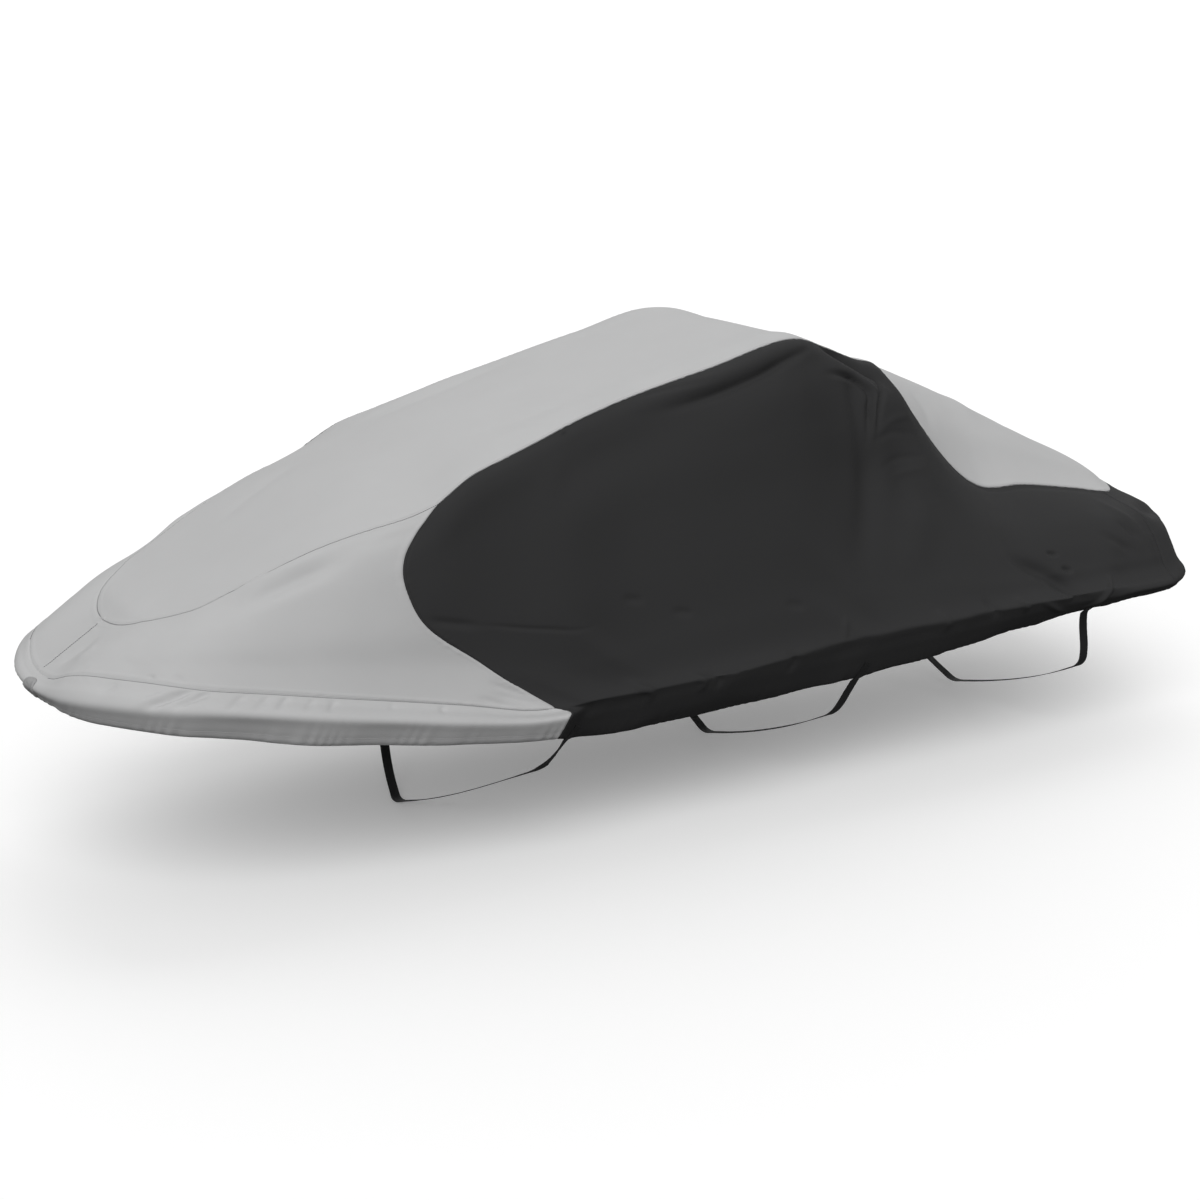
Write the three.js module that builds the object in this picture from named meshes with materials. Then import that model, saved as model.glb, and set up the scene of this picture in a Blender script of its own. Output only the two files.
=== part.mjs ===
// A fitted storage cover for a personal watercraft, in the shape it has when it is drawn over the craft:
// a grey top panel from bow to stern, grey bow sides and bow band, black sides and stern, and three webbing
// straps that pass under the hull. The cover is hollow and open below.
// Millimetres. +X runs aft from the nose, +Y to starboard, +Z up. Sections are measured from the nose and the
// keel line; the whole is then moved so that the origin lies under the top, where the craft carries it.
import * as THREE from "three";

const named = (columns, row) => Object.fromEntries(columns.map((name, i) => [name, row[i]]));

// Driving dimensions
const NOSE_X = 15;
const STERN_X = 3300;
const CLOTH_THICKNESS = 2;
const SEAM_GAP = 0.3;
const CROWN_SHARE = 0.55; // where the crown point lies, as a share of the top panel's half width
const HEM_TUCK = 32; // how far the elastic draws the hem in under the widest line

// The top panel starts behind the nose and ends before the stern, on the centre line. Each end of a plan
// outline is rounded over a length; a power of 2 rounds it as an ellipse, and a higher one more squarely.
const TOP_START_X = 205;
const TOP_END_X = 3230;
const TOP_ROUNDING = 150;
const TOP_POWER = 2;
const NOSE_ROUNDING = 90;
const NOSE_POWER = 2.5;
const STERN_ROUNDING = 190;
const STERN_POWER = 3;

// Lines of a half section, counted outwards from the centre
const SEAM_LINE = 2;
const RAIL_LINE = 5;
const EDGE_LINE = 6;
const HEM_LINE = 7;
const SHOULDER_SHARE = 0.24; // where the shoulder lies, as a share of the way from top seam to flank

// One row for each cross-section. ridgeZ is the centre line's height; seamY and seamZ are the top panel edge;
// shoulder and bulge are how far the side stands out of a straight line, high up and half way down; edgeY
// and edgeZ are the widest line, over the craft's bumper; railRise and railInset are the bumper seam's height
// above it and distance inside it, and hemDrop is the hem's depth below it.
const SECTION_COLUMNS = [
  "x", "ridgeZ", "seamY", "seamZ", "shoulder", "bulge", "edgeY", "edgeZ", "railRise", "railInset", "hemDrop",
];
const SECTIONS = [
  [15, 480, 120, 480, 0, 0, 225, 458, 18, 34, 42],
  [28, 490, 122, 490, 1, 4, 228, 464, 34, 38, 50],
  [50, 500, 125, 500, 2, 8, 234, 470, 44, 42, 58],
  [100, 525, 132, 525, 2, 12, 288, 475, 44, 47, 63],
  [205, 577, 220, 577, 2, 16, 404, 477, 40, 49, 69],
  [250, 609, 220, 605, 2, 17, 430, 474, 38, 47, 71],
  [300, 631, 228, 625, 3, 18, 450, 470, 34, 44, 74],
  [350, 654, 252, 646, 4, 18, 465, 463, 34, 44, 75],
  [450, 704, 281, 692, 6, 18, 487, 446, 35, 45, 77],
  [600, 786, 320, 760, 10, 18, 512, 420, 34, 44, 74],
  [750, 858, 366, 812, 14, 18, 533, 395, 32, 43, 71],
  [900, 918, 392, 862, 16, 18, 551, 370, 28, 41, 64],
  [1050, 970, 374, 928, 17, 18, 563, 350, 16, 34, 59],
  [1200, 1010, 358, 972, 20, 18, 573, 353, 13, 32, 71],
  [1400, 1060, 336, 1034, 24, 16, 583, 368, 18, 35, 89],
  [1650, 1116, 340, 1094, 32, 14, 590, 379, 20, 36, 88],
  [1900, 1152, 330, 1146, 38, 12, 592, 384, 22, 37, 85],
  [2060, 1096, 262, 1102, 52, 10, 592, 390, 22, 37, 84],
  [2180, 1054, 222, 1058, 52, 8, 590, 393, 22, 37, 80],
  [2250, 1036, 228, 1036, 44, 9, 589, 394, 22, 37, 76],
  [2320, 1018, 250, 950, 28, 11, 587, 396, 22, 37, 71],
  [2400, 996, 269, 842, 12, 14, 585, 398, 22, 37, 66],
  [2500, 956, 270, 738, 8, 20, 580, 400, 22, 37, 60],
  [2600, 914, 268, 676, 8, 26, 573, 402, 22, 37, 55],
  [2750, 844, 267, 664, 8, 30, 560, 400, 22, 37, 44],
  [2950, 748, 256, 630, 6, 38, 534, 391, 22, 36, 34],
  [3150, 652, 236, 592, 0, 48, 504, 386, 28, 28, 35],
  [3230, 592, 215, 592, 0, 46, 490, 394, 32, 20, 44],
  [3300, 572, 190, 572, 0, 44, 476, 396, 34, 17, 46],
];

// The black side's front edge, as a row for each section line: it swings forward to a round nose and back.
const LEAD_EDGE_COLUMNS = ["line", "x"];
const LEAD_EDGE = [
  [2, 876],
  [2.5, 828],
  [3, 796],
  [3.4, 774],
  [3.7, 774],
  [4, 786],
  [4.3, 824],
  [4.6, 946],
  [5, 1108],
  [5.4, 1136],
  [6, 1130],
  [7, 1112],
];
const STERN_SEAM_X = 3130;

// The main folds, as soft ridges or troughs along a line. side is -1 for port, 1 for starboard, 0 for both.
const FOLD_COLUMNS = ["side", "fromX", "fromLine", "toX", "toLine", "width", "height"];
const FOLDS = [
  [0, 1250, 3.15, 1800, 2.8, 45, -8],
  [0, 1930, 2.9, 2090, 3.1, 40, -9],
  [0, 2100, 3.1, 2120, 3.75, 38, -13],
  [0, 2170, 3.3, 2160, 3.95, 38, 9],
  [-1, 2290, 3.3, 2200, 3.95, 40, -8],
  [1, 2310, 3.4, 2190, 4.05, 42, -9],
  [0, 480, 3.3, 720, 3.25, 45, 7],
  [-1, 2560, 4.4, 2710, 5.1, 45, -9],
  [1, 2500, 4.3, 2700, 5.1, 48, -8],
  [0, 2960, 4.1, 2870, 5.1, 45, 7],
  [-1, 1980, 4.4, 1990, 5.1, 42, 8],
  [1, 1960, 4.3, 1995, 5.1, 44, 7],
  [-1, 1290, 4.4, 1220, 5.1, 42, 7],
  [1, 1310, 4.3, 1220, 5.1, 44, 7],
];
// The elastic gathers the hem in two slow waves, which fade out on either side of a strap.
const GATHER_HEIGHT = 4;
const GATHER_PITCHES = [230, 340];
const GATHER_FADE = [34, 78];

// Straps: each is sewn to the outside of the hem along a tab, turns round the hull's lower corner, and
// crosses the keel. The hem is flat under the tab, between two columns a seat's width apart.
const STRAP_WIDTH = 25;
const STRAP_THICKNESS = 1.8;
const STRAP_CLEARANCE = 0.75;
const STRAP_TAB_LINE = 6.5;
const STRAP_SEAT = 56;
const STRAP_BEND = 45;
const STRAP_DROP = 7; // how far a strap runs straight on below the hem
const STRAP_COLUMNS = ["name", "tabX", "hemX", "cornerX", "cornerY", "cornerZ", "keelX", "keelZ"];
const STRAPS = [
  ["strap_front", 1156, 1139, 1092, 470, 190, 930, -25],
  ["strap_middle", 1984, 1972, 1948, 505, 190, 1880, -5],
  ["strap_rear", 2786, 2782, 2818, 490, 180, 2770, 0],
].map((row) => named(STRAP_COLUMNS, row));

// A round patch on the nose
const PATCH_RADIUS = 24;
const PATCH_LINE = 6.15;
const PATCH_CLEARANCE = 0.7;
const PATCH_THICKNESS = 2;
const PATCH_CELLS = 8;

// Mesh density: columns in the bow, side and stern blocks, and rows in each zone of a half section
const BOW_COLUMNS = 18;
const SIDE_COLUMNS = 42;
const STERN_COLUMNS = 8;
const TOP_ROWS = 5;
const FLANK_ROWS = 8;
const BUMPER_ROWS = 3;
const HEM_ROWS = 2;

// The craft carries the cover at the steering column, under the highest point of the top.
const CARRIED_X = 1900;

const GREY_CLOTH = new THREE.MeshStandardMaterial({ color: 0xb8b8b8, roughness: 0.85, metalness: 0 });
const BLACK_CLOTH = new THREE.MeshStandardMaterial({ color: 0x2f2f2f, roughness: 0.8, metalness: 0 });
const WEBBING = new THREE.MeshStandardMaterial({ color: 0x161616, roughness: 0.7, metalness: 0 });

// Tables

function readTable(columns, rows) {
  const positions = rows.map((row) => row[0]);
  const spline = new THREE.CubicInterpolant(positions, rows.flat(), columns.length);
  return (at) => {
    const values = spline.evaluate(THREE.MathUtils.clamp(at, positions[0], positions.at(-1)));
    return Object.fromEntries(columns.map((name, i) => [name, values[i]]));
  };
}

const sectionAt = readTable(SECTION_COLUMNS, SECTIONS);
const leadEdgeAt = readTable(LEAD_EDGE_COLUMNS, LEAD_EDGE);

// Plan outlines: each line starts and ends on the centre line, with a round end.

const SLOW_START = 0.12; // share of the length over which the columns close up towards each end

function travel(from, to, u) {
  const pace = 1 / (1 - SLOW_START);
  const ramp = (s) => (pace * s * s) / (2 * SLOW_START);
  if (u < SLOW_START) return THREE.MathUtils.lerp(from, to, ramp(u));
  if (u > 1 - SLOW_START) return THREE.MathUtils.lerp(to, from, ramp(1 - u));
  return THREE.MathUtils.lerp(from, to, pace * (u - SLOW_START / 2));
}

const roundEnd = (distance, length, power) => {
  const left = Math.max(0, 1 - distance / length);
  return Math.max(0, 1 - left ** power) ** (1 / power);
};

function edgePoint(u) {
  const reach = u < 0 ? -u : u > 1 ? 2 - u : u;
  const x = travel(NOSE_X, STERN_X, reach);
  const { edgeY, edgeZ } = sectionAt(x);
  const noseRounding = roundEnd(x - NOSE_X, NOSE_ROUNDING, NOSE_POWER);
  const y = edgeY * noseRounding * roundEnd(STERN_X - x, STERN_ROUNDING, STERN_POWER);
  return new THREE.Vector3(x, reach === u ? y : -y, edgeZ);
}

// The points of the starboard half section at u, one for each line from the ridge to the hem
function sectionPoints(u) {
  const x = travel(TOP_START_X, TOP_END_X, u);
  const top = sectionAt(x);
  const bowRounding = roundEnd(x - TOP_START_X, TOP_ROUNDING, TOP_POWER);
  const sternRounding = roundEnd(TOP_END_X - x, TOP_ROUNDING, TOP_POWER);
  const seamY = top.seamY * bowRounding * sternRounding;
  const fall = top.ridgeZ - top.seamZ;
  const ridge = new THREE.Vector3(x, 0, top.ridgeZ);
  const crown = new THREE.Vector3(x, CROWN_SHARE * seamY, top.ridgeZ - CROWN_SHARE ** 2 * fall);
  const seam = new THREE.Vector3(x, seamY, top.seamZ);

  const step = 1e-4;
  const edge = edgePoint(u);
  const along = edgePoint(u + step).sub(edgePoint(u - step)).setZ(0).normalize();
  const outward = new THREE.Vector3(-along.y, along.x, 0);
  const { railRise, railInset, hemDrop, shoulder, bulge } = sectionAt(edge.x);
  const rail = edge.clone().addScaledVector(outward, -railInset);
  rail.z += railRise;
  const hem = edge.clone().addScaledVector(outward, -HEM_TUCK);
  hem.z -= hemDrop;
  const facing = along.clone().cross(rail.clone().sub(seam)).normalize();
  const flank = seam.clone().lerp(rail, 0.5).addScaledVector(facing, bulge);
  const upper = seam.clone().lerp(flank, SHOULDER_SHARE).addScaledVector(facing, shoulder);
  return [ridge, crown, seam, upper, flank, rail, edge, hem];
}

const mirrored = (point) => new THREE.Vector3(point.x, -point.y, point.z);

// The cover's smooth surface. A negative u or line, or a u past 1, is the port side.
function smoothPoint(u, line) {
  const reach = u < 0 ? -u : u > 1 ? 2 - u : u;
  const port = (reach !== u) !== line < 0;
  const half = sectionPoints(reach);
  const across = [...half.slice(1).reverse().map(mirrored), ...half];
  const curve = new THREE.CatmullRomCurve3(across, false, "centripetal");
  const point = curve.getPoint((HEM_LINE + Math.abs(line)) / (2 * HEM_LINE));
  return port ? mirrored(point) : point;
}

function normalOf(surface, u, line) {
  const atPole = (u === 0 || u === 1) && Math.abs(line) < SEAM_LINE;
  const at = atPole ? SEAM_LINE : line;
  const step = 1e-3;
  const along = surface(u + step, at).sub(surface(u - step, at));
  const across = surface(u, Math.min(at + step, HEM_LINE)).sub(surface(u, at - step));
  return along.cross(across).normalize();
}

// Folds and gathers

function uAtX(x, line) {
  let low = 0;
  let high = 1;
  for (let i = 0; i < 40; i++) {
    const middle = (low + high) / 2;
    if (smoothPoint(middle, line).x < x) low = middle;
    else high = middle;
  }
  return low;
}

const foldLines = FOLDS.flatMap((row) => {
  const fold = named(FOLD_COLUMNS, row);
  const from = smoothPoint(uAtX(fold.fromX, fold.fromLine), fold.fromLine);
  const to = smoothPoint(uAtX(fold.toX, fold.toLine), fold.toLine);
  const starboard = { ...fold, line: new THREE.Line3(from, to) };
  const port = { ...fold, line: new THREE.Line3(mirrored(from), mirrored(to)) };
  return [...(fold.side >= 0 ? [starboard] : []), ...(fold.side <= 0 ? [port] : [])];
});

function reliefAt(point, line) {
  const nearest = new THREE.Vector3();
  const folds = foldLines.reduce((sum, fold) => {
    const distance = fold.line.closestPointToPoint(point, true, nearest).distanceTo(point);
    return sum + fold.height * Math.exp(-((distance / fold.width) ** 2));
  }, 0);
  const nearHem = THREE.MathUtils.smoothstep(Math.abs(line), RAIL_LINE, HEM_LINE);
  const strapReach = Math.min(...STRAPS.map(({ hemX }) => Math.abs(point.x - hemX)));
  const offStrap = THREE.MathUtils.smoothstep(strapReach, ...GATHER_FADE);
  const waves = GATHER_PITCHES.map((pitch) => Math.sin((2 * Math.PI * (point.x + point.y)) / pitch));
  return folds + (GATHER_HEIGHT * nearHem * offStrap * (waves[0] + waves[1])) / 2;
}

function clothPoint(u, line) {
  const point = smoothPoint(u, line);
  return point.clone().addScaledVector(normalOf(smoothPoint, u, line), reliefAt(point, line));
}

// Closed sheets from a grid of outer and inner points

function sheet(outer, inner) {
  const rows = outer.length;
  const columns = outer[0].length;
  const points = [...outer.flat(), ...inner.flat()];
  const index = [];
  const at = (row, column, face) => face * rows * columns + row * columns + column;
  const triangle = (...corners) => {
    const [a, b, c] = corners.map((corner) => points[corner]);
    if (!a.equals(b) && !b.equals(c) && !c.equals(a)) index.push(...corners);
  };
  const quad = (a, b, c, d) => {
    const shorter = points[a].distanceTo(points[c]) <= points[b].distanceTo(points[d]);
    if (shorter) [[a, b, c], [a, c, d]].forEach((corners) => triangle(...corners));
    else [[a, b, d], [b, c, d]].forEach((corners) => triangle(...corners));
  };
  const rim = (a, b, size = rows * columns) => quad(b, a, a + size, b + size);

  for (let r = 0; r + 1 < rows; r++) {
    for (let c = 0; c + 1 < columns; c++) {
      quad(at(r, c, 0), at(r, c + 1, 0), at(r + 1, c + 1, 0), at(r + 1, c, 0));
      quad(at(r, c, 1), at(r + 1, c, 1), at(r + 1, c + 1, 1), at(r, c + 1, 1));
    }
  }
  for (let c = 0; c + 1 < columns; c++) {
    rim(at(0, c, 0), at(0, c + 1, 0));
    rim(at(rows - 1, c + 1, 0), at(rows - 1, c, 0));
  }
  for (let r = 0; r + 1 < rows; r++) {
    rim(at(r + 1, 0, 0), at(r, 0, 0));
    rim(at(r, columns - 1, 0), at(r + 1, columns - 1, 0));
  }
  const geometry = new THREE.BufferGeometry().setFromPoints(points).setIndex(index);
  geometry.computeVertexNormals();
  return geometry;
}

function part(name, geometry, material) {
  const mesh = new THREE.Mesh(geometry, material);
  mesh.name = name;
  return mesh;
}

// A panel from a grid of [u, line] places. Its edges are drawn back, square to each edge, by half a seam gap.
function panel(name, places, material) {
  const outer = places.map((row) => row.map(([u, line]) => clothPoint(u, line)));
  const normals = places.map((row) => row.map(([u, line]) => normalOf(clothPoint, u, line)));
  const lastRow = outer.length - 1;
  const lastColumn = outer[0].length - 1;
  const between = (from, to) => to.clone().sub(from);
  const alongRow = (r, c) => between(outer[r][Math.max(c - 1, 0)], outer[r][Math.min(c + 1, lastColumn)]);
  const downColumn = (r, c) => between(outer[Math.max(r - 1, 0)][c], outer[Math.min(r + 1, lastRow)][c]);
  const inset = outer.map((row, r) =>
    row.map((point, c) => {
      const moved = point.clone();
      const draw = (direction, halves) =>
        moved.addScaledVector(direction.normalize(), (halves * SEAM_GAP) / 2);
      const columnCloses = downColumn(r, c).length() < SEAM_GAP;
      if (columnCloses) return draw(alongRow(Math.floor(lastRow / 2), c), c === 0 ? 2 : -2);
      if (r === 0) draw(normals[r][c].clone().cross(alongRow(r, c)), 1);
      if (r === lastRow) draw(normals[r][c].clone().cross(alongRow(r, c)), -1);
      if (c === 0) draw(downColumn(r, c).cross(normals[r][c]), 1);
      if (c === lastColumn) draw(downColumn(r, c).cross(normals[r][c]), -1);
      return moved;
    }),
  );
  const inner = inset.map((row, r) =>
    row.map((point, c) => point.clone().addScaledVector(normals[r][c], -CLOTH_THICKNESS)),
  );
  return part(name, sheet(inset, inner), material);
}

// Where the columns and rows of the panels lie

const steps = (from, to, count) =>
  Array.from({ length: count + 1 }, (_, i) => THREE.MathUtils.lerp(from, to, i / count));

const sternU = uAtX(STERN_SEAM_X, RAIL_LINE);
const leadU = (line) => uAtX(leadEdgeAt(line).x, line);

const topRows = steps(-SEAM_LINE, SEAM_LINE, 2 * TOP_ROWS);
const flankRows = steps(SEAM_LINE, RAIL_LINE, FLANK_ROWS);
const hemRows = steps(EDGE_LINE, HEM_LINE, HEM_ROWS);
const bandRows = [...steps(RAIL_LINE, EDGE_LINE, BUMPER_ROWS), ...hemRows.slice(1)];
const sideRows = [...flankRows, ...bandRows.slice(1)];

const bowColumns = (line) => steps(0, leadU(line), BOW_COLUMNS);
const hemShare = (x) => Math.max(0, (uAtX(x, HEM_LINE) - leadU(HEM_LINE)) / (sternU - leadU(HEM_LINE)));
const seatShares = ({ hemX }) => [hemX - STRAP_SEAT / 2, hemX + STRAP_SEAT / 2].map(hemShare);
const seats = STRAPS.flatMap(seatShares);
const halfColumn = 1 / (2 * SIDE_COLUMNS);
const clearOfSeats = (share) => seats.every((seat) => Math.abs(seat - share) > halfColumn);
const sideShares = [...steps(0, 1, SIDE_COLUMNS).filter(clearOfSeats), ...seats].sort((a, b) => a - b);
const sideColumns = (line) => sideShares.map((share) => THREE.MathUtils.lerp(leadU(line), sternU, share));
const topColumns = [
  ...bowColumns(SEAM_LINE),
  ...sideColumns(SEAM_LINE).slice(1),
  ...steps(sternU, 1, STERN_COLUMNS).slice(1),
];
const bothSides = (columns) => [...columns.slice(1).reverse().map((u) => -u), ...columns];
const places = (rows, columnsAt) => rows.map((line) => columnsAt(line).map((u) => [u, line]));
const toPort = (columns) => columns.map((u) => -u).reverse();

// Straps

// A route with each inner corner rounded off over the same length
function roundedRoute(corners, bend) {
  const route = [corners[0]];
  for (let i = 1; i + 1 < corners.length; i++) {
    const corner = corners[i];
    const towards = (next) => corner.clone().lerp(next, Math.min(bend / corner.distanceTo(next), 1 / 3));
    const turn = new THREE.QuadraticBezierCurve3(towards(corners[i - 1]), corner, towards(corners[i + 1]));
    route.push(...turn.getPoints(3));
  }
  return [...route, corners.at(-1)];
}

// The run of a strap on one side, from its tab to just below the hem, and the direction of the hem there
function strapEnd(row, side) {
  const { tabX, hemX } = row;
  const shares = seatShares(row);
  const seatEdge = (line, i) => clothPoint(side * THREE.MathUtils.lerp(leadU(line), sternU, shares[i]), line);
  const onSeat = (line, x) => {
    const [front, rear] = [seatEdge(line, 0), seatEdge(line, 1)];
    return front.lerp(rear, (x - front.x) / (rear.x - front.x));
  };
  const hemRun = seatEdge(HEM_LINE, 1).sub(seatEdge(HEM_LINE, 0)).normalize();
  const down = onSeat(HEM_LINE, hemX).sub(onSeat(STRAP_TAB_LINE, tabX)).normalize();
  const facing = hemRun.clone().cross(down).multiplyScalar(side);
  facing.setLength(STRAP_CLEARANCE + STRAP_THICKNESS / 2);
  const tab = onSeat(STRAP_TAB_LINE, tabX).add(facing);
  const hem = onSeat(HEM_LINE, hemX).add(facing);
  return { hemRun, tab, hem, below: hem.clone().addScaledVector(down, STRAP_DROP) };
}

function strap(row) {
  const starboard = strapEnd(row, 1);
  const port = strapEnd(row, -1);
  const corner = new THREE.Vector3(row.cornerX, row.cornerY, row.cornerZ);
  const keel = new THREE.Vector3(row.keelX, 0, row.keelZ);
  const across = [starboard.tab, starboard.below, corner, keel, mirrored(corner), port.below, port.tab];
  const route = roundedRoute(across, STRAP_BEND);
  const aft = new THREE.Vector3(1, 0, 0);

  const corners = [[], [], [], []];
  route.forEach((point, i) => {
    const next = route[Math.min(i + 1, route.length - 1)];
    const run = next.clone().sub(route[Math.max(i - 1, 0)]).normalize();
    const end = point.y < 0 ? port : starboard;
    const width = aft.clone().lerp(end.hemRun, THREE.MathUtils.smoothstep(point.z, row.cornerZ, end.hem.z));
    width.addScaledVector(run, -width.dot(run)).setLength(STRAP_WIDTH / 2);
    const depth = run.clone().cross(width).setLength(STRAP_THICKNESS / 2);
    corners[0].push(point.clone().sub(width).sub(depth));
    corners[1].push(point.clone().add(width).sub(depth));
    corners[2].push(point.clone().sub(width).add(depth));
    corners[3].push(point.clone().add(width).add(depth));
  });
  const outer = corners[0].map((point, i) => [point, corners[1][i]]);
  const inner = corners[2].map((point, i) => [point, corners[3][i]]);
  return part(row.name, sheet(outer, inner), WEBBING);
}

// The nose patch follows the bumper's round nose: a square grid, pressed into a disc.
function nosePatch() {
  const reach = 0.01;
  const spread = 0.3;
  const [port, starboard] = [-reach, reach].map((u) => smoothPoint(u, PATCH_LINE));
  const [upper, lower] = [-spread, spread].map((lines) => smoothPoint(0, PATCH_LINE + lines));
  const perU = port.distanceTo(starboard) / (2 * reach);
  const perLine = upper.distanceTo(lower) / (2 * spread);
  const grid = steps(-1, 1, PATCH_CELLS).map((down) =>
    steps(-1, 1, PATCH_CELLS).map((along) => {
      const u = (PATCH_RADIUS * along * Math.sqrt(1 - down ** 2 / 2)) / perU;
      const line = PATCH_LINE + (PATCH_RADIUS * down * Math.sqrt(1 - along ** 2 / 2)) / perLine;
      return [clothPoint(u, line), normalOf(clothPoint, u, line)];
    }),
  );
  const lifted = (height) =>
    grid.map((row) => row.map(([point, normal]) => point.clone().addScaledVector(normal, height)));
  const outer = lifted(PATCH_CLEARANCE + PATCH_THICKNESS);
  return part("nose_patch", sheet(outer, lifted(PATCH_CLEARANCE)), GREY_CLOTH);
}

// The cover, piece by piece

const cover = new THREE.Group();
cover.add(panel("top_panel", places(topRows, () => topColumns), GREY_CLOTH));
cover.add(panel("bow_side_port", places(flankRows, (line) => toPort(bowColumns(line))), GREY_CLOTH));
cover.add(panel("bow_side_starboard", places(flankRows, bowColumns), GREY_CLOTH));
cover.add(panel("bow_band", places(bandRows, (line) => bothSides(bowColumns(line))), GREY_CLOTH));
cover.add(panel("side_port", places(sideRows, (line) => toPort(sideColumns(line))), BLACK_CLOTH));
cover.add(panel("side_starboard", places(sideRows, sideColumns), BLACK_CLOTH));
const sternColumns = steps(sternU, 2 - sternU, 2 * STERN_COLUMNS);
cover.add(panel("stern_panel", places(sideRows, () => sternColumns), BLACK_CLOTH));
cover.add(nosePatch());
for (const row of STRAPS) cover.add(strap(row));

const underTop = clothPoint(uAtX(CARRIED_X, 0), 0).z - CLOTH_THICKNESS;
cover.position.set(-CARRIED_X, 0, -underTop);

const root = new THREE.Group();
root.add(cover);
export default root;
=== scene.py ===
import math

import bmesh
import bpy
import numpy as np
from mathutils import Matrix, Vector
from mathutils.kdtree import KDTree


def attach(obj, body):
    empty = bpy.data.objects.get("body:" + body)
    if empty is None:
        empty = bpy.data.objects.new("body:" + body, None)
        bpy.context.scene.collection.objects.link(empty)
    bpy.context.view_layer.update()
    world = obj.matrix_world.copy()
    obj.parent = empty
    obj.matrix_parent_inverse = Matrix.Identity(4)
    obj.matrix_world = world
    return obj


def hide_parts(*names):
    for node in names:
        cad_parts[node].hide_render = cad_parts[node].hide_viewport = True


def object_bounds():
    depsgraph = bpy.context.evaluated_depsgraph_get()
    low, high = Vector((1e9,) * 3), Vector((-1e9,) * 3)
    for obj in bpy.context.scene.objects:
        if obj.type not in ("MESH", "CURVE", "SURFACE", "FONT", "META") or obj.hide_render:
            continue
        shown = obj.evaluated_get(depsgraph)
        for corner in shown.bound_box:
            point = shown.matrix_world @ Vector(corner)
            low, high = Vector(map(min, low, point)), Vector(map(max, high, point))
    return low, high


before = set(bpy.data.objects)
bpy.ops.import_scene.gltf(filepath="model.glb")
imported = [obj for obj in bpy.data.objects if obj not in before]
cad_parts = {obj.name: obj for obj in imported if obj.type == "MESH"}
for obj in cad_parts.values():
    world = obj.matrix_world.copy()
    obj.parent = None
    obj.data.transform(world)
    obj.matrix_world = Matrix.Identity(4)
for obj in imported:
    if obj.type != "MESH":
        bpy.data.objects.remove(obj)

cad_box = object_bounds()
scene = bpy.context.scene


# Studio
# A plain pale floor just under the lowest strap, which curves up far away, in a soft bright room.
# The camera and a broad soft light stand off the port bow, and a weaker light stands opposite.
CAMERA_PLACE = (-2.92, -4.43, 0.75)
CAMERA_TURN = math.radians(-30)
CAMERA_DIP = math.radians(16)
LENS_MM = 60
SENSOR_MM = 36
VIEW_LIMIT = 400
FLOOR_GAP = 0.004
FLOOR_LEVEL = cad_box[0][2] - FLOOR_GAP
FLOOR_RINGS = [(30, 0), (36, 0.4), (42, 1.6), (48, 3.8), (54, 7.2), (60, 12)]
FLOOR_CORNERS = 96
FLOOR_COLOUR = (0.9, 0.9, 0.9)
FLOOR_ROUGHNESS = 0.9
FLOOR_SPECULAR = 0.1
FLOOR_GLOW = 0.16
WHITE = (1, 1, 1, 1)
ROOM_ABOVE = 0.40
ROOM_BELOW = 0.08
ROOM_BLEND = 0.2
SOFT_LIGHTS = {"main": ((-0.48, -0.75, 0.74), 2.0), "fill": ((0.50, 0.70, 0.72), 0.9)}
SOFT_LIGHT_SPREAD = math.radians(60)


def new_finish(name, values):
    """A new material with these values on its shader, then its node tree and its shader."""
    material = bpy.data.materials.new(name)
    material.use_nodes = True
    shader = material.node_tree.nodes["Principled BSDF"]
    for socket, value in values.items():
        shader.inputs[socket].default_value = value
    return material, material.node_tree, shader


camera_data = bpy.data.cameras.new("camera")
camera_data.lens = LENS_MM
camera_data.sensor_width = SENSOR_MM
camera_data.clip_end = VIEW_LIMIT
camera = bpy.data.objects.new("camera", camera_data)
camera.location = CAMERA_PLACE
camera.rotation_euler = (math.pi / 2 - CAMERA_DIP, 0, CAMERA_TURN)
scene.collection.objects.link(camera)
scene.camera = camera
scene.view_settings.view_transform = "Standard"

world = bpy.data.worlds.new("room")
world.use_nodes = True
nodes, links = world.node_tree.nodes, world.node_tree.links
facing = nodes.new("ShaderNodeTexCoord")
height = nodes.new("ShaderNodeSeparateXYZ")
links.new(facing.outputs["Generated"], height.inputs["Vector"])
brightness = nodes.new("ShaderNodeMapRange")
brightness.inputs["From Min"].default_value = -ROOM_BLEND
brightness.inputs["From Max"].default_value = ROOM_BLEND
brightness.inputs["To Min"].default_value = ROOM_BELOW
brightness.inputs["To Max"].default_value = ROOM_ABOVE
links.new(height.outputs["Z"], brightness.inputs["Value"])
links.new(brightness.outputs["Result"], nodes["Background"].inputs["Strength"])
nodes["Background"].inputs["Color"].default_value = WHITE
scene.world = world

for name, (came_from, strength) in SOFT_LIGHTS.items():
    light_data = bpy.data.lights.new(f"{name}_light", "SUN")
    light_data.angle = SOFT_LIGHT_SPREAD
    light_data.energy = strength
    light = bpy.data.objects.new(f"{name}_light", light_data)
    light.rotation_euler = Vector(came_from).to_track_quat("Z", "Y").to_euler()
    scene.collection.objects.link(light)

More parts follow.
